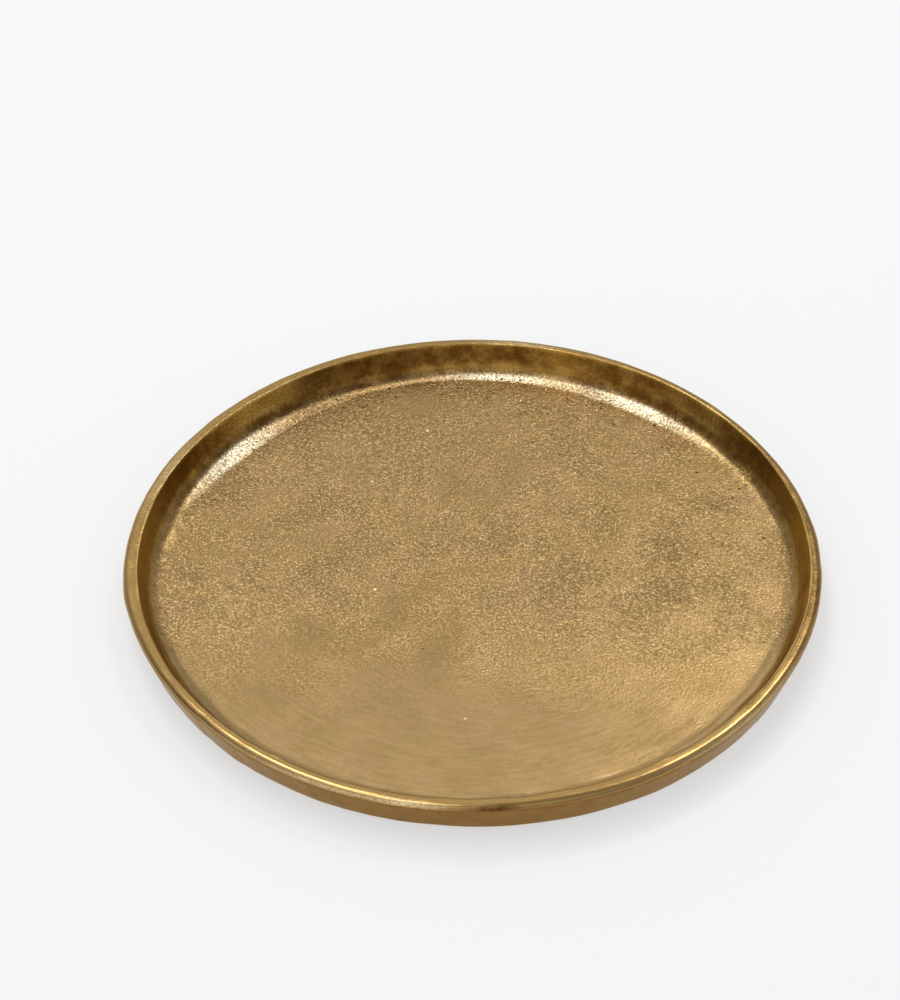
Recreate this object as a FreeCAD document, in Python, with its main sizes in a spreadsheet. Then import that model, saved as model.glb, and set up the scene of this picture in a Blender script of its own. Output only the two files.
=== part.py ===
import FreeCAD, Part
import math
import os
import Sketcher

# Candle plate: a round sand-cast metal dish with a leaning rim, standing on stuck-on felt feet.
# +Z is up and the origin is on the table, under the plate's centre. Lengths are millimetres, angles degrees.

doc = FreeCAD.newDocument("CandlePlate")


# Driving sizes

SIZES = {
    # the casting, from its own underside up and from its rim inwards
    "plate_diameter": 300,
    "casting_height": 17,
    "floor_thickness": 4.6,
    "lip_width": 5.4,
    "lip_inner_round": 1,
    "lip_outer_round": 2.4,
    "inner_wall_run": 10.8,
    "floor_fillet_radius": 9,
    "foot_setback": 6.8,
    "foot_round": 2.7,
    # the feet under it, from the edge of the flat underside inwards
    "pad_count": 4,
    "first_pad_angle": 45,
    "pad_setback": 18.2,
    "pad_diameter": 20,
    "pad_thickness": 2,
    "pad_edge_round": 0.4,
    "adhesive_thickness": 0.2,
    "adhesive_inset": 0.5,
}

sheet = doc.addObject("Spreadsheet::Sheet", "Sizes")
for row, (alias, value) in enumerate(SIZES.items(), start=1):
    sheet.set(f"A{row}", alias)
    sheet.set(f"B{row}", str(value))
    sheet.setAlias(f"B{row}", alias)
doc.recompute()


# Shared by every piece

ORIGIN = (-1, 1)
START, END, CENTRE = 1, 2, 3


def size(alias):
    """A driving size, read back from the sheet."""
    return float(getattr(sheet, alias))


def sketch_on(body, role, name):
    """An empty sketch on one of a body's own origin planes."""
    plane = next(plane for plane in body.Origin.OriginFeatures if plane.Role == role)
    sketch = body.newObject("Sketcher::SketchObject", name)
    sketch.AttachmentSupport = [(plane, "")]
    sketch.MapMode = "FlatFace"
    return sketch


def bind(thing, path, formula):
    """Ties one property of an object to the sheet; a size is named in the formula with a dot before it."""
    thing.setExpression(path, formula.replace(".", "Sizes."))


def dimension(sketch, name, constraint, formula):
    """Adds a named dimension to a sketch and ties it to the sheet."""
    index = sketch.addConstraint(constraint)
    sketch.renameConstraint(index, name)
    bind(sketch, f"Constraints.{name}", formula)


# The casting: floor, fillet, leaning wall, lip and outer wall are one metal, so its section is drawn once and turned

def section_corners():
    """Centres of the section's four round corners: the foot, the lip's two sides and the floor's fillet."""
    rim = size("plate_diameter") / 2
    top = size("casting_height")
    lip_inside = rim - size("lip_width")
    foot = (rim - size("foot_setback"), size("foot_round"))
    lip_outer = (rim - size("lip_outer_round"), top - size("lip_outer_round"))
    lip_inner = (lip_inside + size("lip_inner_round"), top - size("lip_inner_round"))
    fillet = (
        lip_inside - size("inner_wall_run"),
        size("floor_thickness") + size("floor_fillet_radius"),
    )
    return foot, lip_outer, lip_inner, fillet


def wall_angle(low, low_radius, high, high_radius):
    """Which way a wall faces that touches the right side of a low corner and a higher one.

    A negative radius stands for a corner that the wall touches on its left side.
    """
    across = high[0] - low[0]
    up = high[1] - low[1]
    turn = math.asin((low_radius - high_radius) / math.hypot(across, up))
    return math.atan2(up, across) + turn - math.pi / 2


def corner_point(centre, radius, angle):
    """The point of a round corner that faces the given way."""
    return (centre[0] + radius * math.cos(angle), centre[1] + radius * math.sin(angle))


def corner_arc(centre, radius, start, end):
    """A round corner, drawn anticlockwise between two facings."""
    circle = Part.Circle(FreeCAD.Vector(*centre, 0), FreeCAD.Vector(0, 0, 1), radius)
    return Part.ArcOfCircle(circle, start, end)


def straight(start, end):
    """A straight edge of the section."""
    return Part.LineSegment(FreeCAD.Vector(*start, 0), FreeCAD.Vector(*end, 0))


def draw_section(sketch):
    """The half section, round from the axis: underside, foot, outer wall, lip, inner wall, fillet, floor."""
    foot, lip_outer, lip_inner, fillet = section_corners()
    foot_r, outer_r = size("foot_round"), size("lip_outer_round")
    inner_r, fillet_r = size("lip_inner_round"), size("floor_fillet_radius")
    top, floor = size("casting_height"), size("floor_thickness")
    outward = wall_angle(foot, foot_r, lip_outer, outer_r)
    inward = wall_angle(fillet, fillet_r, lip_inner, -inner_r)
    down, up = -math.pi / 2, math.pi / 2

    outer_wall_ends = corner_point(foot, foot_r, outward), corner_point(lip_outer, outer_r, outward)
    inner_wall_ends = corner_point(lip_inner, -inner_r, inward), corner_point(fillet, fillet_r, inward)
    underside = sketch.addGeometry(straight((0, 0), (foot[0], 0)))
    foot_arc = sketch.addGeometry(corner_arc(foot, foot_r, down, outward))
    outer_wall = sketch.addGeometry(straight(*outer_wall_ends))
    outer_arc = sketch.addGeometry(corner_arc(lip_outer, outer_r, outward, up))
    lip = sketch.addGeometry(straight((lip_outer[0], top), (lip_inner[0], top)))
    inner_arc = sketch.addGeometry(corner_arc(lip_inner, inner_r, up, inward + math.pi))
    inner_wall = sketch.addGeometry(straight(*inner_wall_ends))
    fillet_arc = sketch.addGeometry(corner_arc(fillet, fillet_r, down, inward))
    dish = sketch.addGeometry(straight((fillet[0], floor), (0, floor)))
    axis = sketch.addGeometry(straight((0, floor), (0, 0)))

    link = Sketcher.Constraint
    sketch.addConstraint(
        [
            link("Coincident", underside, START, *ORIGIN),
            link("Coincident", axis, END, *ORIGIN),
            link("Coincident", dish, END, axis, START),
            link("Horizontal", underside),
            link("Horizontal", lip),
            link("Horizontal", dish),
            link("Vertical", axis),
            link("Tangent", underside, END, foot_arc, START),
            link("Tangent", foot_arc, END, outer_wall, START),
            link("Tangent", outer_wall, END, outer_arc, START),
            link("Tangent", outer_arc, END, lip, START),
            link("Tangent", lip, END, inner_arc, START),
            link("Tangent", inner_arc, END, inner_wall, START),
            link("Tangent", inner_wall, END, fillet_arc, END),
            link("Tangent", fillet_arc, START, dish, START),
        ]
    )
    rim = ".plate_diameter / 2"
    for name, arc, alias, centre, reach in (
        ("foot", foot_arc, "foot_round", foot, f"{rim} - .foot_setback"),
        ("outer", outer_arc, "lip_outer_round", lip_outer, f"{rim} - .lip_outer_round"),
        ("inner", inner_arc, "lip_inner_round", lip_inner, f"{rim} - .lip_width + .lip_inner_round"),
        ("fillet", fillet_arc, "floor_fillet_radius", fillet, f"{rim} - .lip_width - .inner_wall_run"),
    ):
        dimension(sketch, f"{name}_radius", link("Radius", arc, size(alias)), f".{alias}")
        dimension(sketch, f"{name}_reach", link("DistanceX", *ORIGIN, arc, CENTRE, centre[0]), reach)
    dimension(sketch, "rim_level", link("DistanceY", *ORIGIN, lip, START, top), ".casting_height")
    dimension(sketch, "floor_level", link("DistanceY", *ORIGIN, dish, START, floor), ".floor_thickness")


def make_casting():
    """The cast plate, turned from its section about the vertical axis and lifted onto its feet."""
    body = doc.addObject("PartDesign::Body", "CastPlate")
    body.Label = "cast_plate"
    section = sketch_on(body, "XZ_Plane", "PlateSection")
    draw_section(section)
    turned = body.newObject("PartDesign::Revolution", "TurnedPlate")
    turned.Profile = section
    turned.ReferenceAxis = (section, ["V_Axis"])
    turned.Angle = 360
    body.Tip = turned
    bind(body, "Placement.Base.z", ".pad_thickness + .adhesive_thickness")
    return body


# The feet: a die-cut felt disc and a film disc at each of the places shared out round the underside

def place_under_casting(thing, number):
    """Puts a foot's piece at its place, its edge set back from the edge of the flat underside."""
    reach = "(.plate_diameter / 2 - .foot_setback - .pad_setback - .pad_diameter / 2)"
    turn = f"((.first_pad_angle + {number - 1} * 360 / .pad_count) * 1 deg)"
    bind(thing, "Placement.Base.x", f"{reach} * cos{turn}")
    bind(thing, "Placement.Base.y", f"{reach} * sin{turn}")


def lowest_edge(shape):
    """The round edge that a disc stands on."""
    number = min(range(len(shape.Edges)), key=lambda i: shape.Edges[i].BoundBox.ZMax)
    return f"Edge{number + 1}"


def make_felt_pad(number):
    """A felt disc, its lower edge worn round where it meets the table."""
    body = doc.addObject("PartDesign::Body", f"FeltPad{number}")
    body.Label = f"felt_pad_{number}"
    outline = sketch_on(body, "XY_Plane", f"FeltOutline{number}")
    radius = size("pad_diameter") / 2
    rim = outline.addGeometry(Part.Circle(FreeCAD.Vector(), FreeCAD.Vector(0, 0, 1), radius))
    outline.addConstraint(Sketcher.Constraint("Coincident", rim, CENTRE, *ORIGIN))
    dimension(outline, "felt_radius", Sketcher.Constraint("Radius", rim, radius), ".pad_diameter / 2")
    felt = body.newObject("PartDesign::Pad", f"FeltDisc{number}")
    felt.Profile = outline
    bind(felt, "Length", ".pad_thickness")
    doc.recompute()
    worn = body.newObject("PartDesign::Fillet", f"FeltEdge{number}")
    worn.Base = (felt, [lowest_edge(felt.Shape)])
    bind(worn, "Radius", ".pad_edge_round")
    body.Tip = worn
    place_under_casting(body, number)
    return body


def make_adhesive_disc(number):
    """The film between a felt disc and the casting, cut a little smaller than the felt."""
    film = doc.addObject("Part::Cylinder", f"AdhesiveDisc{number}")
    film.Label = f"adhesive_disc_{number}"
    bind(film, "Radius", ".pad_diameter / 2 - .adhesive_inset")
    bind(film, "Height", ".adhesive_thickness")
    bind(film, "Placement.Base.z", ".pad_thickness")
    place_under_casting(film, number)
    return film


pieces = [make_casting()]
for number in range(1, int(size("pad_count")) + 1):
    pieces.append(make_felt_pad(number))
    pieces.append(make_adhesive_disc(number))
doc.recompute()


# Checked before anything is written

for thing in doc.Objects:
    if {"Invalid", "Error"} & set(thing.State):
        raise SystemExit(f"{thing.Label} did not build: {thing.State}")
for piece in pieces:
    if piece.Shape.isNull() or not piece.Shape.isValid() or len(piece.Shape.Solids) != 1:
        raise SystemExit(f"{piece.Label} is not one sound solid")

os.makedirs("parts", exist_ok=True)
for piece in pieces:
    piece.Shape.exportStep(f"parts/{piece.Label}.step")
    print(piece.Label, round(piece.Shape.Volume), "mm3, rests at", round(piece.Placement.Base.z, 3))
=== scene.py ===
import math

import bpy
import numpy as np
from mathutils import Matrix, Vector


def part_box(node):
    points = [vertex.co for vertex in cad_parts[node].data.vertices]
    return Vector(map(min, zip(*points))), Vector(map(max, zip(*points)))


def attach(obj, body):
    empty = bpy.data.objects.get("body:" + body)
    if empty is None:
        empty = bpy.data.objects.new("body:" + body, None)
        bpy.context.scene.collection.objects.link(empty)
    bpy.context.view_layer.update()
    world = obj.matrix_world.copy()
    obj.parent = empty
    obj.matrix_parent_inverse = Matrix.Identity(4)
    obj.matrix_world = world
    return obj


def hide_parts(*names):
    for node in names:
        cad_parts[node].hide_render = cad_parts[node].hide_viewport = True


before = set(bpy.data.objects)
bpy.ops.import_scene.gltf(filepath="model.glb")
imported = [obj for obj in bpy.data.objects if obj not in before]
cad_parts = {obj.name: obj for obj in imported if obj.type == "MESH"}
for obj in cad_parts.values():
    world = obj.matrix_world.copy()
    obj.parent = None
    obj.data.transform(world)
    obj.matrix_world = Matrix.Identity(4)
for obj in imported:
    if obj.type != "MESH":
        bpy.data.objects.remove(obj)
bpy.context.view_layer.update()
scene = bpy.context.scene
scene.view_settings.view_transform = "Standard"


# The camera
# The plate is looked down on from the front at about 42 degrees, through a long lens one and a half metres
# away, and lies a little under the middle of the picture.

LENS_LENGTH = 124.74
STANDS_AT = Vector((0, -1.10768, 1.02365))
LOOKS_AT = Vector((-0.01027, 0.01931, 0.03382))

camera_data = bpy.data.cameras.new("camera")
camera_data.lens = LENS_LENGTH
camera = bpy.data.objects.new("camera", camera_data)
camera.location = STANDS_AT
camera.rotation_euler = (LOOKS_AT - STANDS_AT).to_track_quat("-Z", "Y").to_euler()
scene.collection.objects.link(camera)
scene.camera = camera


# The table and the studio
# A wide white table top in a dim room. Three soft boxes hang over it, two in a row to the left and one
# behind to the right, and pale cloths and reflectors stand round it, which the polished metal mirrors.

TABLE_HALF = 9.0
TABLE_WHITE = (0.93, 0.93, 0.935, 1)
# this share of its white is the same all over, as in a picture taken on a lit table, so shadows stay pale
TABLE_LIT = 0.55
BOX_HEIGHT = 2.2
# the soft boxes face down: the middle of each, its two sides and how bright its face is
SOFT_BOXES = (
    ("near_left_box", (-0.42, -0.15), (0.66, 1.4), 2.05),
    ("far_left_box", (-0.52, 1.1), (0.5, 0.7), 7.5),
    ("right_box", (0.66, 1.65), (0.52, 0.6), 8.2),
)
ROOM_GLOW = 0.05
# the cloths and reflectors: the way each lies, its height over the table and its half width, all in
# degrees, and how bright it is
REFLECTORS = (
    (0, 8, 22, 0.65),
    (60, 10, 22, 0.5),
    (130, 8, 26, 0.55),
    (225, 8, 22, 0.65),
    (104, 24, 11, 0.7),
    (90, 48, 8, 0.68),
    (50, 36, 13, 0.2),
    (30, 62, 13, 0.45),
    (150, 62, 13, 1.2),
    (270, 38, 30, 0.85),
)


def add_node(tree, kind, settings=None, **inputs):
    """One node, with plain settings, and its inputs given as values or as other nodes' outputs."""
    node = tree.nodes.new(kind)
    for name, value in (settings or {}).items():
        setattr(node, name, value)
    for name, value in inputs.items():
        socket = node.inputs[int(name[1:])] if name[1:].isdigit() else node.inputs[name.replace("_", " ")]
        if isinstance(value, bpy.types.NodeSocket):
            tree.links.new(value, socket)
        else:
            socket.default_value = value
    return node


def work_out(tree, operation, *values, clamp=False):
    """The result of one piece of arithmetic on values or outputs."""
    inputs = {f"i{n}": value for n, value in enumerate(values)}
    settings = {"operation": operation, "use_clamp": clamp}
    return add_node(tree, "ShaderNodeMath", settings, **inputs).outputs[0]


def blend(tree, share, first, second, kind="MIX"):
    """Two colours mixed by a share."""
    settings = {"data_type": "RGBA", "blend_type": kind, "clamp_factor": True}
    return add_node(tree, "ShaderNodeMix", settings, i0=share, i6=first, i7=second).outputs[2]


def new_material(name, **sockets):
    """A material with one main shader, whose plain values are set on its own sockets."""
    material = bpy.data.materials.new(name)
    material.use_nodes = True
    shader = material.node_tree.nodes["Principled BSDF"]
    for socket, value in sockets.items():
        shader.inputs[socket.replace("_", " ")].default_value = value
    return material, material.node_tree, shader


def mesh_object(name, points, faces, material, smooth=True):
    """A mesh piece with one material."""
    mesh = bpy.data.meshes.new(name)
    mesh.from_pydata([tuple(p) for p in points], [], faces)
    mesh.polygons.foreach_set("use_smooth", [smooth] * len(mesh.polygons))
    mesh.materials.append(material)
    mesh.update()
    piece = bpy.data.objects.new(name, mesh)
    scene.collection.objects.link(piece)
    return piece


table_white, tree, shader = new_material(
    "table_white", Roughness=0.9, Specular_IOR_Level=0.1, Emission_Color=(1, 1, 1, 1)
)
rays = add_node(tree, "ShaderNodeLightPath").outputs
seen = work_out(tree, "ADD", rays["Is Camera Ray"], rays["Is Glossy Ray"])
seen = work_out(tree, "ADD", seen, rays["Is Transmission Ray"], clamp=True)
tree.links.new(work_out(tree, "MULTIPLY", seen, TABLE_LIT), shader.inputs["Emission Strength"])
unlit_white = tuple(c * (1 - TABLE_LIT) for c in TABLE_WHITE[:3]) + (1,)
tree.links.new(blend(tree, seen, TABLE_WHITE, unlit_white), shader.inputs["Base Color"])
corners = [(x * TABLE_HALF, y * TABLE_HALF, 0) for x, y in ((-1, -1), (1, -1), (1, 1), (-1, 1))]
table = mesh_object("table_top", corners, [(0, 1, 2, 3)], table_white, smooth=False)

for name, middle, sides, glow in SOFT_BOXES:
    light = bpy.data.lights.new(name, "AREA")
    light.shape = "RECTANGLE"
    light.size, light.size_y = sides
    light.energy = glow * math.pi * sides[0] * sides[1]
    lamp = bpy.data.objects.new(name, light)
    lamp.location = (*middle, BOX_HEIGHT)
    scene.collection.objects.link(lamp)

room = bpy.data.worlds.new("room")
room.use_nodes = True
scene.world = room
tree = room.node_tree
way = add_node(tree, "ShaderNodeTexCoord").outputs["Generated"]
total = ROOM_GLOW
for turn, raised, half_width, glow in REFLECTORS:
    turn, raised, half_width = (math.radians(angle) for angle in (turn, raised, half_width))
    flat = math.cos(raised)
    towards = (flat * math.cos(turn), flat * math.sin(turn), math.sin(raised))
    beside = add_node(tree, "ShaderNodeVectorMath", {"operation": "DOT_PRODUCT"}, i0=way, i1=towards)
    narrow = 1 / half_width ** 2
    fall = work_out(tree, "MULTIPLY_ADD", beside.outputs["Value"], narrow, -narrow)
    total = work_out(tree, "MULTIPLY_ADD", work_out(tree, "EXPONENT", fall), glow, total)
background = tree.nodes["Background"]
background.inputs["Color"].default_value = (1, 1, 1, 1)
tree.links.new(total, background.inputs["Strength"])


# The cast plate
# One sand casting in aluminium: floor, fillet, leaning wall, lip and outer wall. The rim is ground and
# polished by hand, then the whole is plated in antique gold and lacquered. Nothing on it is quite round or
# quite flat.

MM = 0.001
SEGMENTS = 1080
FLOOR_THICK = 0.0046
LIP_WIDTH = 0.0054
LIP_INNER_ROUND = 0.001
LIP_OUTER_ROUND = 0.0024
WALL_RUN = 0.0108
FILLET = 0.009
FOOT_SETBACK = 0.0068
FOOT_ROUND = 0.0027
# the rings of the flat floor from the middle out, and those of the underside from inside the foot inwards
FIRST_FLOOR_RING = 0.002
LAST_FLOOR_RING = 0.126
FLOOR_RINGS = 63
UNDER_MARGIN = 0.002
LAST_UNDER_RING = 0.004
UNDER_RINGS = 35
# the floor is uneven up to its edge, over the last stretch less and less
FLOOR_EDGE = 0.134
FLOOR_EDGE_FADE = 0.012
# the underside is a little hollow inside this radius; the depth is in millimetres
HOLLOW_EDGE = 0.09
HOLLOW_RUN = 0.02
HOLLOW_DEPTH = 0.25
# the fillet is eased where it has turned this far up from the floor, in radians
EASED_AT = 0.15
EASED_WIDTH = 0.1
# the run of the section, from the floor over the lip to the underside, counted in whole sides
FLOOR_SIDE, WALL_SIDE, LIP_SIDE, OUTER_SIDE, UNDER_SIDE = 0.0, 1.0, 2.0, 3.0, 4.0

low_corner, high_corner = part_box("cast_plate")
RIM, UNDERSIDE, TOP = high_corner.x, low_corner.z, high_corner.z
FLOOR = UNDERSIDE + FLOOR_THICK


def leaning(low_place, low_radius, high_place, high_radius):
    """Which way a straight wall faces that touches two round corners."""
    across, up = high_place[0] - low_place[0], high_place[1] - low_place[1]
    turn = math.asin((low_radius - high_radius) / math.hypot(across, up))
    return math.atan2(up, across) + turn - math.pi / 2


def swell(angle, *bumps):
    """Soft rises and dips round the plate, given by direction and half width in degrees, and height."""
    total = np.zeros_like(angle)
    for at, width, height in bumps:
        apart = (np.degrees(angle) - at + 180) % 360 - 180
        total += height * np.exp(-((apart / width) ** 2))
    return total


def lumps(points, length, seed, count=40):
    """A smooth random unevenness whose waves are about as long as given, of even spread 1."""
    draw = np.random.default_rng(seed)
    ways = draw.normal(size=(count, 3))
    ways /= np.linalg.norm(ways, axis=1)[:, None]
    ways *= 2 * math.pi / (length * draw.uniform(0.7, 1.6, count))[:, None]
    phases = draw.uniform(0, 2 * math.pi, count)
    return np.cos(points @ ways.T + phases).sum(-1) / math.sqrt(count / 2)


# where the rim stands out or falls back, and where the lip is higher, wider or narrower, in millimetres
turns = np.arange(SEGMENTS) * (2 * math.pi / SEGMENTS)
reach = RIM + MM * swell(
    turns,
    (75, 25, 0.3),
    (188, 13, 1.1),
    (298, 12, 0.5),
    (235, 15, 0.25),
    (222, 1.2, -0.35),
    (30, 12, -0.3),
    (142, 15, -0.25),
    (330, 9, -0.15),
)
lip_top = TOP + MM * swell(
    turns, (72, 22, 0.25), (20, 15, -0.2), (140, 20, -0.15), (205, 12, 0.3), (250, 15, -0.15)
)
lip_inside = RIM - LIP_WIDTH + MM * (0.3 * np.cos(turns) + 0.3 * np.sin(turns) + 0.7 * np.sin(2 * turns))
# the floor runs up into its fillet more gently where the mould was worn, in front and in places behind
easing = swell(
    turns, (270, 50, 1.2), (56, 17, 2.2), (138, 18, 3.2), (80, 12, 0.5), (180, 20, 0.8), (10, 20, 0.8)
)

cad_shoulder = (RIM - LIP_OUTER_ROUND, TOP - LIP_OUTER_ROUND)
cad_foot = (RIM - FOOT_SETBACK, UNDERSIDE + FOOT_ROUND)
cad_edge = (RIM - LIP_WIDTH + LIP_INNER_ROUND, TOP - LIP_INNER_ROUND)
cad_fillet = (RIM - LIP_WIDTH - WALL_RUN, FLOOR + FILLET)
outward = leaning(cad_foot, FOOT_ROUND, cad_shoulder, LIP_OUTER_ROUND)
inward = leaning(cad_fillet, FILLET, cad_edge, -LIP_INNER_ROUND)
down, up = -math.pi / 2, math.pi / 2
# the wall and the floor would meet in a sharp corner at this distance inside the lip
corner_run = WALL_RUN - FILLET * math.tan((inward - down) / 2)
steepest = math.pi / 2 + inward


def round_corner(across, height, radius, start, end, steps):
    """Points along a round corner of the section, at every direction round the plate."""
    angles = np.linspace(start, end, steps + 1)[:, None]
    return np.stack([across + radius * np.cos(angles), height + radius * np.sin(angles)], -1)


def straight(start, end, steps):
    """Points along a straight run of the section, without its ends."""
    shares = np.linspace(0, 1, steps + 1)[1:-1, None, None]
    return start * (1 - shares) + end * shares


# the fillet is followed by its slope in fine steps from the floor up, closer together where it starts, and
# ends on the wall; one point in four is kept
FILLET_STEPS = 60
FILLET_KEPT = 4
slopes = steepest * np.linspace(0, 1, FILLET_STEPS + 1)[:, None] ** 1.4
bend = FILLET * (1 + easing * np.exp(-(((slopes - EASED_AT) / EASED_WIDTH) ** 2)))
bend = 0.5 * (bend[1:] + bend[:-1]) * np.diff(slopes, axis=0)
halfway = 0.5 * (slopes[1:] + slopes[:-1])
run = np.concatenate([np.zeros((1, SEGMENTS)), np.cumsum(bend * np.cos(halfway), axis=0)])
rise = np.concatenate([np.zeros((1, SEGMENTS)), np.cumsum(bend * np.sin(halfway), axis=0)])
fillet_start = lip_inside - corner_run + rise[-1] / math.tan(steepest) - run[-1]
fillet_points = np.stack([fillet_start + run, FLOOR + rise], -1)[::FILLET_KEPT]
edge_points = round_corner(
    lip_inside + LIP_INNER_ROUND, lip_top - LIP_INNER_ROUND, LIP_INNER_ROUND, inward + math.pi, up, 5
)
shoulder_points = round_corner(
    reach - LIP_OUTER_ROUND, lip_top - LIP_OUTER_ROUND, LIP_OUTER_ROUND, up, outward, 8
)
# the foot follows the rim in and out by a little more than half
foot_across = 0.6 * reach + 0.4 * RIM - FOOT_SETBACK
foot_points = round_corner(
    foot_across, np.full(SEGMENTS, UNDERSIDE + FOOT_ROUND), FOOT_ROUND, outward, down, 6
)
floor_edge = np.stack([np.full(SEGMENTS, LAST_FLOOR_RING), np.full(SEGMENTS, FLOOR)], -1)
# the section's parts in their order, each with the sides that it starts and ends on
parts = (
    (straight(floor_edge, fillet_points[0], 4), FLOOR_SIDE, FLOOR_SIDE),
    (fillet_points, FLOOR_SIDE, WALL_SIDE),
    (straight(fillet_points[-1], edge_points[0], 7), WALL_SIDE, WALL_SIDE),
    (edge_points, WALL_SIDE, LIP_SIDE),
    (straight(edge_points[-1], shoulder_points[0], 3), LIP_SIDE, LIP_SIDE),
    (shoulder_points, LIP_SIDE, OUTER_SIDE),
    (straight(shoulder_points[-1], foot_points[0], 8), OUTER_SIDE, OUTER_SIDE),
    (foot_points, OUTER_SIDE, UNDER_SIDE),
)
section = np.concatenate([part[0] for part in parts])
along = np.concatenate([np.linspace(start, end, len(points)) for points, start, end in parts])


def turned(across, height):
    """One ring of the section, set up round the plate."""
    return np.stack([across * np.cos(turns), across * np.sin(turns), height], -1)


# hand grinding and the sand of the mould leave every surface a little lumpy, the wall the most and the
# ground lip the least
tangent = np.gradient(section, axis=0)
facing = np.stack([tangent[..., 1], -tangent[..., 0]], -1)
facing /= np.linalg.norm(facing, axis=-1)[..., None]
places = turned(section[..., 0], section[..., 1])
lumpy = np.interp(along, (0, 0.5, 1, 1.8, 2, 3, 3.2, 4), (0.25, 1, 1, 0.7, 0.35, 0.6, 0.8, 0))[:, None]
unevenness = 0.1 * lumps(places, 0.022, 3) + 0.045 * lumps(places, 0.009, 4)
section += MM * (lumpy * unevenness)[..., None] * facing


def points_round(radius):
    """How many points a flat ring has: half as many each time that it gets smaller than a given radius."""
    for part, least in ((1, 0.1275), (2, 0.062), (4, 0.03)):
        if radius >= least:
            return SEGMENTS // part
    return SEGMENTS // 8


def flat_ring(radius, level, count):
    """A ring of the floor or of the underside."""
    angles = np.arange(count) * (2 * math.pi / count)
    return np.stack([radius * np.cos(angles), radius * np.sin(angles), np.full(count, level)], -1)


def settle_floor(points):
    """Lets the floor rise and fall as it cooled: long shallow waves, and shorter ones from polishing."""
    fade = np.clip((FLOOR_EDGE - np.hypot(points[:, 0], points[:, 1])) / FLOOR_EDGE_FADE, 0, 1)
    points[:, 2] += MM * fade * (0.06 * lumps(points, 0.09, 5) + 0.025 * lumps(points, 0.03, 6))


rings, ring_sides = [], []
for radius in np.linspace(FIRST_FLOOR_RING, LAST_FLOOR_RING, FLOOR_RINGS):
    ring = flat_ring(radius, FLOOR, points_round(radius))
    settle_floor(ring)
    rings.append(ring)
    ring_sides.append(FLOOR_SIDE)
for level_run, share in zip(section, along):
    ring = turned(level_run[:, 0], level_run[:, 1])
    if share == FLOOR_SIDE:
        settle_floor(ring)
    rings.append(ring)
    ring_sides.append(share)
for radius in np.linspace(RIM - FOOT_SETBACK - UNDER_MARGIN, LAST_UNDER_RING, UNDER_RINGS):
    ring = flat_ring(radius, UNDERSIDE, min(points_round(radius), SEGMENTS // 2))
    hollow = np.clip((HOLLOW_EDGE - radius) / HOLLOW_RUN, 0, 1)
    ring[:, 2] += MM * hollow * (HOLLOW_DEPTH + 0.06 * lumps(ring, 0.05, 7))
    rings.append(ring)
    ring_sides.append(UNDER_SIDE)


def stitch(first, count, second, other_count):
    """Faces between two neighbouring rings, whose counts are equal or one half of the other."""
    faces = []
    if count == other_count:
        for i in range(count):
            j = (i + 1) % count
            faces.append((first + i, second + i, second + j, first + j))
    elif count > other_count:
        for i in range(other_count):
            j = (i + 1) % other_count
            a, b, c = first + 2 * i, first + 2 * i + 1, first + (2 * i + 2) % count
            faces += [(a, second + i, b), (b, second + i, second + j), (b, second + j, c)]
    else:
        for i in range(count):
            j = (i + 1) % count
            a, b, c = second + 2 * i, second + 2 * i + 1, second + (2 * i + 2) % other_count
            faces += [(first + i, a, b), (first + i, b, first + j), (first + j, b, c)]
    return faces


# the rings are joined one to the next, and the first and the last are closed on the axis
points = np.concatenate([[(0, 0, FLOOR)], *rings, [(0, 0, rings[-1][0][2])]])
counts = [len(ring) for ring in rings]
side_of = np.concatenate([[FLOOR_SIDE], np.repeat(ring_sides, counts), [UNDER_SIDE]])
starts = [1 + sum(counts[:k]) for k in range(len(counts) + 1)]
faces = [(0, 1 + i, 1 + (i + 1) % counts[0]) for i in range(counts[0])]
for k in range(len(rings) - 1):
    faces += stitch(starts[k], counts[k], starts[k + 1], counts[k + 1])
last, count = starts[-2], counts[-1]
faces += [(last + (i + 1) % count, last + i, starts[-1]) for i in range(count)]

# the floor's finish: the sand's grain was left in the middle band and behind, and polished away in front,
# and one place behind the middle came out of the mould calmer than the rest
LEAST_GRAIN = 0.12
UNDER_GRAIN = 0.7
POLISHED_UP_TO = -0.1
GRAIN_RUN = 0.105
CALM_PLACE = (0.01, 0.073)
CALM_HALF = (0.06, 0.03)
CALMED_BY = 0.3
eastward, northward = points[:, 0], points[:, 1]
grain = np.clip((northward - POLISHED_UP_TO) / GRAIN_RUN, 0, 1)
grain = grain * grain * (3 - 2 * grain)
calm = ((eastward - CALM_PLACE[0]) / CALM_HALF[0]) ** 2 + ((northward - CALM_PLACE[1]) / CALM_HALF[1]) ** 2
grain = LEAST_GRAIN + (1 - LEAST_GRAIN) * grain * (1 - CALMED_BY * np.exp(-calm))
grain = np.where(side_of > 3.6, UNDER_GRAIN, grain)
# sand stuck to the mould's corner left pits along the fillet behind
PITTED_RADII = (0.118, 0.13, 0.137, 0.141)
PITTED_RUN = 0.08
turned_up = np.interp(np.hypot(eastward, northward), PITTED_RADII, (0, 1, 1, 0))
pitted = np.where(side_of < 1.2, turned_up, 0) * np.clip(northward / PITTED_RUN, 0, 1)

around = np.arctan2(northward, eastward)


def stretch(start, full, fading, gone):
    """A stretch of the section, coming in from where it starts and fading out again."""
    return np.interp(side_of, (start, full, fading, gone), (0, 1, 1, 0))


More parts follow.
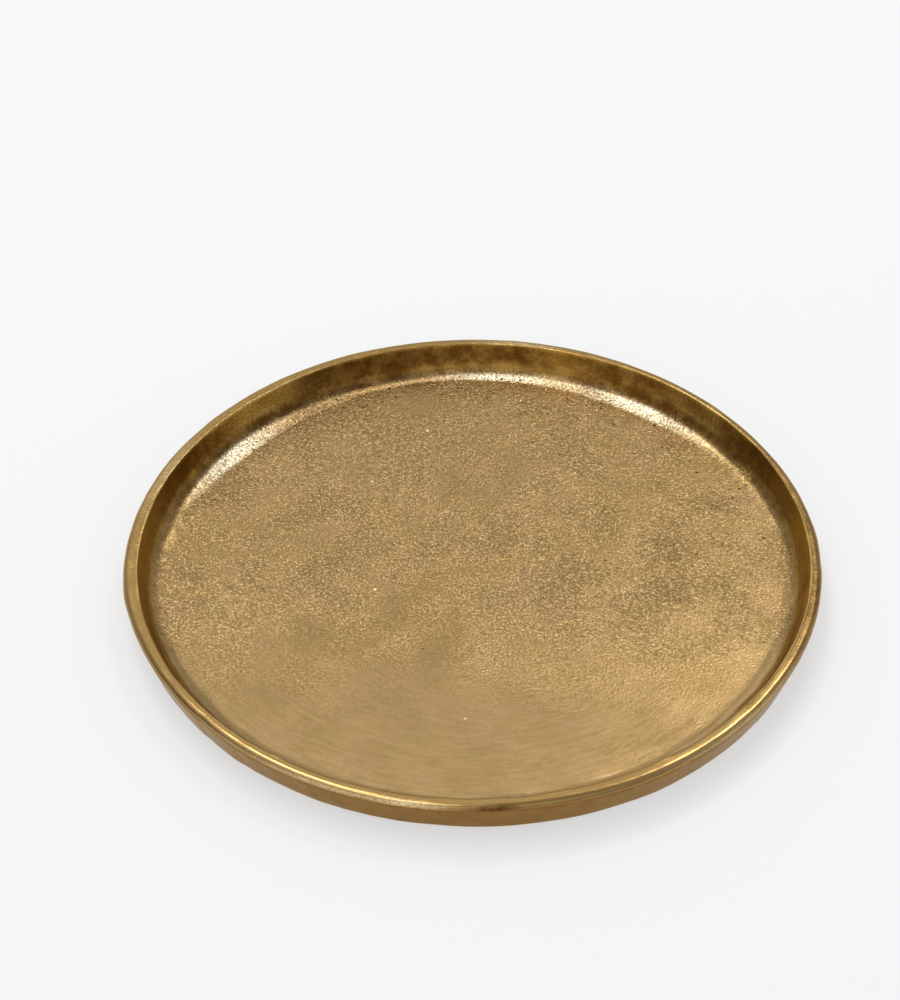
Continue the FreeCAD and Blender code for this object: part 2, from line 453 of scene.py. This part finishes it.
# the plating is antiqued and shade is painted on it: the corner and parts of the wall are darkened, partly
# by antiquing and partly as painted shade and painted dark reflections, the lip a little, and the front
# shoulder by a painted dark reflection; it is left bright elsewhere
on_the_wall = stretch(0.8, 1.0, 1.8, 2.0)
corner_clear = swell(around, (82, 14, 0.4), (270, 70, 0.9), (350, 28, 0.6), (192, 26, 0.65))
corner_antique_and_shade = stretch(0.36, 0.52, 0.9, 1.05) * np.clip(0.85 - corner_clear, 0, 1)
wall_antique_and_dark_reflection = 0.45 + swell(
    around,
    (26, 11, 0.25),
    (155, 11, 0.4),
    (134, 9, -0.6),
    (43, 6, -0.3),
    (120, 6, 0.2),
    (88, 12, 0.2),
    (182, 15, -0.6),
    (0, 18, -0.6),
)
dark_lip = 0.12 + swell(around, (225, 18, -0.1), (312, 12, -0.1), (358, 26, 0.5))
shoulder_painted_dark_reflection = stretch(2.2, 2.4, 2.7, 2.9) * swell(around, (273, 4, 0.9))
antique_and_painted_shade = corner_antique_and_shade + wall_antique_and_dark_reflection * on_the_wall + dark_lip * stretch(1.85, 2.0, 2.6, 2.9) + shoulder_painted_dark_reflection
antique_and_painted_shade = np.clip(antique_and_painted_shade, 0, 1)
# paler where the floor turns up, on the rim's corners and in parts of the wall: partly plating worn thin by
# hands and cloths, partly painted highlights and, on the wall, painted reflections
fillet_wear_and_highlight = stretch(0.04, 0.2, 0.4, 0.56) * swell(around, (144, 9, 0.9), (57, 12, 0.75), (85, 9, 0.85))
edge_wear_and_highlight = stretch(1.5, 1.75, 1.95, 2.1) * swell(around, (157, 9, 0.6), (81, 8, 0.8))
shoulder_wear_and_highlight = stretch(2.1, 2.35, 2.65, 2.85) * swell(
    around, (260.5, 5, 0.9), (246, 9, 0.6), (231, 9, 0.3), (318, 16, 0.4)
)
wall_wear_and_reflection = on_the_wall * swell(around, (180, 18, 0.7), (355, 28, 0.95), (134, 9, 0.6), (42, 7, 0.6))
wear_and_painted_highlight = np.clip(fillet_wear_and_highlight + edge_wear_and_highlight + shoulder_wear_and_highlight + wall_wear_and_reflection, 0, 1)


def spread(tree, value, low, high, to_low=0.0, to_high=1.0):
    """A value carried smoothly from one range to another."""
    node = add_node(
        tree, "ShaderNodeMapRange", {"interpolation_type": "SMOOTHSTEP"},
        i0=value, i1=low, i2=high, i3=to_low, i4=to_high,
    )
    return node.outputs[0]


def between_values(tree, share, first, second):
    """A value part of the way from a first to a second."""
    settings = {"data_type": "FLOAT", "clamp_factor": True}
    return add_node(tree, "ShaderNodeMix", settings, i0=share, i2=first, i3=second).outputs[0]


def painted(tree, name):
    """A finish that the mesh carries from point to point."""
    return add_node(tree, "ShaderNodeAttribute", {"attribute_name": name}).outputs["Fac"]


def noise(tree, vector, scale, detail=2.0, roughness=0.5, distortion=0.0):
    """Cloudy noise, given by how many of its lumps lie in a metre."""
    node = add_node(
        tree, "ShaderNodeTexNoise",
        Vector=vector, Scale=scale, Detail=detail, Roughness=roughness, Distortion=distortion,
    )
    return node.outputs["Fac"]


# the gold's colours on the floor: olive and warm by turns, with reddish clouds; what the grain, its hollows
# and its tops tint them with, the tops' lighter tint being partly polish and partly painted glints; the
# polishing wheel's streaks, the pits and the painted glints
OLIVE_GOLD = (0.395, 0.258, 0.1, 1)
WARM_GOLD = (0.435, 0.285, 0.119, 1)
REDDISH_GOLD = (0.46, 0.285, 0.138, 1)
GRAIN_HOLLOW = (0.66, 0.59, 0.42, 1)
GRAIN_TOP_GLINT = (0.72, 0.53, 0.27, 1)
GRAIN_GREY = (0.7, 0.705, 0.69, 1)
WHEEL_STREAK = (0.56, 0.39, 0.2, 1)
PIT_DARK = (0.12, 0.07, 0.025, 1)
GLINT_BRIGHT = (0.85, 0.7, 0.42, 1)
# richer on the wall and lip, and browner outside and beneath; outside, the brown is partly antiquing and
# partly a painted reflection of the shade under the rim
WALL_GOLD = (0.45, 0.257, 0.05, 1)
LIP_GOLD = (0.41, 0.258, 0.087, 1)
FLANK_DARK = (0.235, 0.112, 0.022, 1)
FLANK_PALE = (0.285, 0.142, 0.032, 1)
CAST_PALE = (0.34, 0.22, 0.085, 1)
CAST_DARK = (0.23, 0.15, 0.062, 1)
# what the antiquing and the painted shade darken it by, and the pale colours of plating worn thin and of
# painted highlights and reflections
ANTIQUE_AND_SHADE_TINT = (0.34, 0.24, 0.12, 1)
FILLET_WORN_HIGHLIGHT = (0.92, 0.82, 0.58, 1)
RIM_WORN_HIGHLIGHT = (0.8, 0.63, 0.34, 1)
WALL_WORN_REFLECTION = (0.64, 0.42, 0.12, 1)
# how many grains, clumps of them, places for pits, clouds, blushes, mottles and streaks lie in a metre
GRAINS = 920.0
CLUMPS = 38.0
PIT_PLACES = 330.0
CLOUDS = 46.0
BLUSHES = 70.0
MOTTLES = 120.0
STREAKS = 480.0
# and how many streaks follow each other in one radian round the plate
STREAKS_ROUND = 9.0
# the share of the places that is pitted, on the fillet and elsewhere, and the share with a painted glint
PITTED_FILLET = 0.22
PITTED_ELSEWHERE = 0.004
GLINTED = 0.0025
# how matt the metal is: polished, in the grain, on the wall, worn thin and painted with highlights, on the
# lip, outside and beneath
SATIN = 0.2
GRAIN_SATIN = 0.25
WALL_SATIN = 0.16
WORN_HIGHLIGHT_SATIN = 0.13
LIP_SATIN = 0.18
OUTER_SATIN = 0.28
CAST_MATT = 0.42
# in metres, for the whole range of the grain's noise
GRAIN_DEPTH = 0.00031

gold, tree, shader = new_material(
    "gold_casting", Metallic=1.0, Coat_Weight=0.08, Coat_Roughness=0.15, Specular_Tint=(0.97, 0.88, 0.68, 1)
)
place = add_node(tree, "ShaderNodeTexCoord").outputs["Object"]
side = painted(tree, "side")
on_wall = work_out(tree, "MULTIPLY", spread(tree, side, 0.55, 0.85), spread(tree, side, 1.6, 2.0, 1.0, 0.0))
on_lip = work_out(tree, "MULTIPLY", spread(tree, side, 1.5, 1.9), spread(tree, side, 2.35, 2.7, 1.0, 0.0))
outside = work_out(tree, "MULTIPLY", spread(tree, side, 2.4, 2.9), spread(tree, side, 3.6, 4.0, 1.0, 0.0))
beneath = spread(tree, side, 3.6, 4.0)

# the sand's grain: little facets about a millimetre across, with finer ones between them, in loose clumps
fine = noise(tree, place, GRAINS, 3.0, 0.68, 0.15)
clumps = noise(tree, place, CLUMPS, 4.0, 0.6)
grained = painted(tree, "grain")
grained = work_out(tree, "MULTIPLY", grained, spread(tree, clumps, 0.34, 0.66, 0.45, 1.3))
grained = work_out(tree, "MULTIPLY", grained, spread(tree, side, 0.5, 1.0, 1.0, 0.6))
# the grain's tops are painted lighter, partly as polish and partly as painted glints
tops_and_glints = work_out(tree, "MULTIPLY", spread(tree, fine, 0.53, 0.63), grained, clamp=True)
deep = work_out(tree, "MULTIPLY", spread(tree, fine, 0.47, 0.38), grained, clamp=True)

# pits where sand grains stood in the metal, most of them where the floor turns up behind, and painted
# glints: bright specks where a grain would catch a lamp
cells = add_node(tree, "ShaderNodeTexVoronoi", {"feature": "F1"}, Vector=place, Scale=PIT_PLACES)
chosen = add_node(tree, "ShaderNodeSeparateColor", i0=cells.outputs["Color"]).outputs[0]
pit_share = work_out(tree, "MULTIPLY_ADD", painted(tree, "pitted"), PITTED_FILLET, PITTED_ELSEWHERE)
pit = spread(tree, cells.outputs["Distance"], 0.1, 0.3, 1.0, 0.0)
pit = work_out(tree, "MULTIPLY", work_out(tree, "LESS_THAN", chosen, pit_share), pit)
painted_glint = spread(tree, cells.outputs["Distance"], 0.1, 0.24, 1.0, 0.0)
painted_glint = work_out(tree, "MULTIPLY", work_out(tree, "GREATER_THAN", chosen, 1 - GLINTED), painted_glint)

# the polishing wheel went round in front and left short streaks that follow the rim
east, north = add_node(tree, "ShaderNodeSeparateXYZ", i0=place).outputs[:2]
away = work_out(tree, "ADD", work_out(tree, "POWER", east, 2.0), work_out(tree, "POWER", north, 2.0))
away = work_out(tree, "SQRT", away)
turn = work_out(tree, "ARCTAN2", east, work_out(tree, "MULTIPLY", north, -1.0))
turn = work_out(tree, "MULTIPLY", turn, STREAKS_ROUND)
away = work_out(tree, "MULTIPLY", away, STREAKS)
wheel = add_node(tree, "ShaderNodeCombineXYZ", i0=turn, i1=away).outputs[0]
streaks = noise(tree, wheel, 1.0, 3.0, 0.6, 0.3)
polished = spread(tree, side, 1.0, 1.6, 1.0, 0.0)
polished = work_out(tree, "MULTIPLY", spread(tree, north, -0.03, -0.1), polished)

# the colour, from the casting's first plating to what has worn it since, with painted shade, painted
# highlights and painted glints laid on it
clouds = noise(tree, place, CLOUDS, 3.0, 0.6)
blush = noise(tree, place, BLUSHES, 2.0, 0.5, 0.4)
mottling = noise(tree, place, MOTTLES, 5.0, 0.68)
mottled = spread(tree, mottling, 0.35, 0.65)
colour = blend(tree, spread(tree, clouds, 0.35, 0.65), OLIVE_GOLD, WARM_GOLD)
colour = blend(tree, spread(tree, blush, 0.5, 0.72, 0.0, 0.45), colour, REDDISH_GOLD)
colour = blend(tree, work_out(tree, "MULTIPLY", deep, 0.9), colour, GRAIN_HOLLOW, "MULTIPLY")
colour = blend(tree, work_out(tree, "MULTIPLY", tops_and_glints, 0.75), colour, GRAIN_TOP_GLINT)
colour = blend(tree, work_out(tree, "MULTIPLY", grained, 0.8), colour, GRAIN_GREY, "MULTIPLY")
streaked = work_out(tree, "MULTIPLY", spread(tree, streaks, 0.4, 0.66, 0.0, 0.24), polished)
colour = blend(tree, streaked, colour, WHEEL_STREAK)
colour = blend(tree, work_out(tree, "MULTIPLY", on_wall, 0.9), colour, WALL_GOLD)
colour = blend(tree, work_out(tree, "MULTIPLY", on_lip, 0.8), colour, LIP_GOLD)
# outside, the brown is partly antiquing and partly a painted reflection of the shade under the rim
colour = blend(tree, outside, colour, blend(tree, mottled, FLANK_DARK, FLANK_PALE))
# the antiquing, the painted shade and the painted dark reflections darken the colour
antique_and_shade = spread(tree, mottling, 0.36, 0.64, 0.6, 1.3)
antique_and_shade = work_out(tree, "MULTIPLY", painted(tree, "antique_and_painted_shade"), antique_and_shade, clamp=True)
colour = blend(tree, antique_and_shade, colour, ANTIQUE_AND_SHADE_TINT, "MULTIPLY")
# paler where the plating is worn thin, and where highlights and reflections are painted
wear_and_highlight_share = spread(tree, fine, 0.4, 0.58, 0.4, 1.1)
wear_and_highlight_share = work_out(tree, "MULTIPLY", painted(tree, "wear_and_painted_highlight"), wear_and_highlight_share, clamp=True)
bare_and_highlight_colour = blend(tree, on_wall, RIM_WORN_HIGHLIGHT, WALL_WORN_REFLECTION)
bare_and_highlight_colour = blend(tree, spread(tree, side, 0.5, 0.8), FILLET_WORN_HIGHLIGHT, bare_and_highlight_colour)
colour = blend(tree, wear_and_highlight_share, colour, bare_and_highlight_colour)
# painted glints: bright specks where a grain would catch a lamp
colour = blend(tree, painted_glint, colour, GLINT_BRIGHT)
colour = blend(tree, beneath, colour, blend(tree, mottled, CAST_PALE, CAST_DARK))
colour = blend(tree, pit, colour, PIT_DARK)
tree.links.new(colour, shader.inputs["Base Color"])

# the polished metal is satin, a little cloudy, more matt in its grain and smoothest where it is worn and
# highlights are painted
roughness = between_values(tree, grained, SATIN, GRAIN_SATIN)
roughness = work_out(tree, "ADD", roughness, work_out(tree, "MULTIPLY_ADD", clouds, 0.08, -0.04))
roughness = between_values(tree, spread(tree, side, 0.0, 0.4), roughness, WALL_SATIN)
roughness = between_values(tree, wear_and_highlight_share, roughness, WORN_HIGHLIGHT_SATIN)
roughness = between_values(tree, on_lip, roughness, LIP_SATIN)
roughness = between_values(tree, outside, roughness, OUTER_SATIN)
roughness = between_values(tree, beneath, roughness, CAST_MATT)
tree.links.new(roughness, shader.inputs["Roughness"])

# its relief: the grain's tops and hollows, the pits and the streaks
height = work_out(tree, "MULTIPLY", work_out(tree, "SUBTRACT", fine, 0.5), grained)
height = work_out(tree, "MULTIPLY_ADD", pit, -0.35, height)
height = work_out(tree, "MULTIPLY_ADD", work_out(tree, "MULTIPLY", streaks, polished), 0.008, height)
relief = add_node(tree, "ShaderNodeBump", Strength=1.0, Distance=GRAIN_DEPTH, Height=height)
tree.links.new(relief.outputs[0], shader.inputs["Normal"])

plate = mesh_object("plate_casting", points, faces, gold)
# the finishes carried on the mesh; two of them hold painted shade and painted highlights as well as
# antiquing and wear
finishes = {"side": side_of, "grain": grain, "pitted": pitted, "antique_and_painted_shade": antique_and_painted_shade, "wear_and_painted_highlight": wear_and_painted_highlight}
for name, values in finishes.items():
    plate.data.attributes.new(name, "FLOAT", "POINT").data.foreach_set("value", values)
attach(plate, "root")
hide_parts("cast_plate")


# The felt feet
# Four round feet of pressed wool felt, two millimetres thick, cut out with a round die. The cut leaves the
# edge a little bulged and ragged, and the casting's weight has pressed each one flat on the table.

CUT_SEGMENTS = 120
# half a foot's outline from the top to the bottom: millimetres out from the cut, and shares of its height
FELT_OUT = np.array([-5.0, -2.0, -0.6, -0.22, -0.06, 0.02, 0.05, 0.03, -0.04, -0.16, -0.4, -1.2, -3.0, -6.0])
FELT_UP = np.array([1, 1, 1, 0.985, 0.9, 0.75, 0.55, 0.36, 0.2, 0.07, 0, 0, 0, 0])
FELT_RAGGED = 0.00012
FELT_FUZZ = 0.00003
FELT_SEED = 20
# how many fibres and matted tufts lie in a metre, and how deep they are
FIBRES = 900.0
TUFTS = 260.0
FIBRE_DEPTH = 0.0003
WOOL_DARK = (0.105, 0.083, 0.062, 1)
WOOL_PALE = (0.2, 0.165, 0.128, 1)
WOOL_MATTED = (0.09, 0.07, 0.055, 1)


def cut_disc(outline, levels, wobble, seed, relief=0.0):
    """Points and faces of a thin die-cut disc, turned from half an outline that ends on the axis."""
    draw = np.random.default_rng(seed)
    angles = np.arange(CUT_SEGMENTS) * (2 * math.pi / CUT_SEGMENTS)
    phases = draw.uniform(0, 2 * math.pi, 9)
    ragged = sum(np.cos((k + 2) * angles + phases[k]) / (k + 2) for k in range(9)) * wobble
    points, faces = [], []
    for radius, level in zip(outline, levels):
        edge = radius + ragged * (radius / max(outline)) ** 4
        level = np.full(CUT_SEGMENTS, level)
        points.append(np.stack([edge * np.cos(angles), edge * np.sin(angles), level], -1))
    points = np.concatenate(points)
    inner = (points[:, 2] > min(levels) + 1e-6) & (points[:, 2] < max(levels) - 1e-6)
    points[inner] += draw.normal(0, 1, (int(inner.sum()), 3)) * relief
    for k in range(len(outline) - 1):
        for i in range(CUT_SEGMENTS):
            j = (i + 1) % CUT_SEGMENTS
            a, b = k * CUT_SEGMENTS, (k + 1) * CUT_SEGMENTS
            faces.append((b + i, b + j, a + j, a + i))
    # the first and the last ring are closed on the axis
    top, bottom = len(points), len(points) + 1
    last = len(points) - CUT_SEGMENTS
    for i in range(CUT_SEGMENTS):
        j = (i + 1) % CUT_SEGMENTS
        faces += [(j, top, i), (bottom, last + j, last + i)]
    return np.concatenate([points, [(0, 0, levels[0]), (0, 0, levels[-1])]]), faces


felt, tree, shader = new_material(
    "pressed_felt", Roughness=0.95, Specular_IOR_Level=0.2, Sheen_Weight=0.4, Sheen_Roughness=0.5
)
place = add_node(tree, "ShaderNodeTexCoord").outputs["Object"]
wool = noise(tree, place, FIBRES, 4.0, 0.7, 2.5)
matted = noise(tree, place, TUFTS, 3.0, 0.6, 1.2)
colour = blend(tree, spread(tree, wool, 0.35, 0.65), WOOL_DARK, WOOL_PALE)
colour = blend(tree, spread(tree, matted, 0.52, 0.7, 0.0, 0.5), colour, WOOL_MATTED)
tree.links.new(colour, shader.inputs["Base Color"])
height = work_out(tree, "MULTIPLY_ADD", matted, 0.5, wool)
relief = add_node(tree, "ShaderNodeBump", Strength=1.0, Distance=FIBRE_DEPTH, Height=height)
tree.links.new(relief.outputs[0], shader.inputs["Normal"])

for number in range(1, 5):
    low_corner, high_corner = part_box(f"felt_pad_{number}")
    middle = (low_corner + high_corner) / 2
    radius, bottom, top = (high_corner.x - low_corner.x) / 2, low_corner.z, high_corner.z
    outline, levels = radius + MM * FELT_OUT, bottom + (top - bottom) * FELT_UP
    disc, faces = cut_disc(outline, levels, FELT_RAGGED, FELT_SEED + number, FELT_FUZZ)
    disc[:, :2] += middle[:2]
    foot = mesh_object(f"felt_foot_{number}", disc, faces, felt)
    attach(foot, "root")
    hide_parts(f"felt_pad_{number}")


# The adhesive discs
# A thin double-sided film of clear yellowish acrylic holds each felt foot to the casting. It is cut half a
# millimetre smaller than the felt, and small bubbles are trapped under it.

# half a disc's outline, given as the felt's is
FILM_OUT = np.array([-3.0, -0.5, -0.04, 0.0, 0.03, -0.02, -0.5, -3.0])
FILM_UP = np.array([1, 1, 1, 0.8, 0.4, 0, 0, 0])
FILM_RAGGED = 0.00006
FILM_SEED = 40
FILM_YELLOW = (0.7, 0.65, 0.5, 1)
FILM_CLEAR = (0.84, 0.81, 0.7, 1)
BUBBLE_PALE = (0.9, 0.89, 0.84, 1)
# how many hazy clouds and bubbles lie in a metre, and how deep the bubbles are
HAZES = 420.0
BUBBLES = 700.0
BUBBLE_DEPTH = 0.00005

film, tree, shader = new_material("acrylic_film", Roughness=0.3, IOR=1.47, Transmission_Weight=0.25)
place = add_node(tree, "ShaderNodeTexCoord").outputs["Object"]
haze = noise(tree, place, HAZES, 3.0, 0.6)
bubbles = add_node(tree, "ShaderNodeTexVoronoi", {"feature": "F1"}, Vector=place, Scale=BUBBLES)
bubbles = bubbles.outputs["Distance"]
colour = blend(tree, haze, FILM_YELLOW, FILM_CLEAR)
colour = blend(tree, spread(tree, bubbles, 0.1, 0.3, 0.6, 0.0), colour, BUBBLE_PALE)
tree.links.new(colour, shader.inputs["Base Color"])
height = spread(tree, bubbles, 0.1, 0.35)
relief = add_node(tree, "ShaderNodeBump", Strength=1.0, Distance=BUBBLE_DEPTH, Height=height)
tree.links.new(relief.outputs[0], shader.inputs["Normal"])

for number in range(1, 5):
    low_corner, high_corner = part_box(f"adhesive_disc_{number}")
    middle = (low_corner + high_corner) / 2
    radius, bottom, top = (high_corner.x - low_corner.x) / 2, low_corner.z, high_corner.z
    outline, levels = radius + MM * FILM_OUT, bottom + (top - bottom) * FILM_UP
    disc, faces = cut_disc(outline, levels, FILM_RAGGED, FILM_SEED + number)
    disc[:, :2] += middle[:2]
    layer = mesh_object(f"adhesive_film_{number}", disc, faces, film)
    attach(layer, "root")
    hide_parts(f"adhesive_disc_{number}")
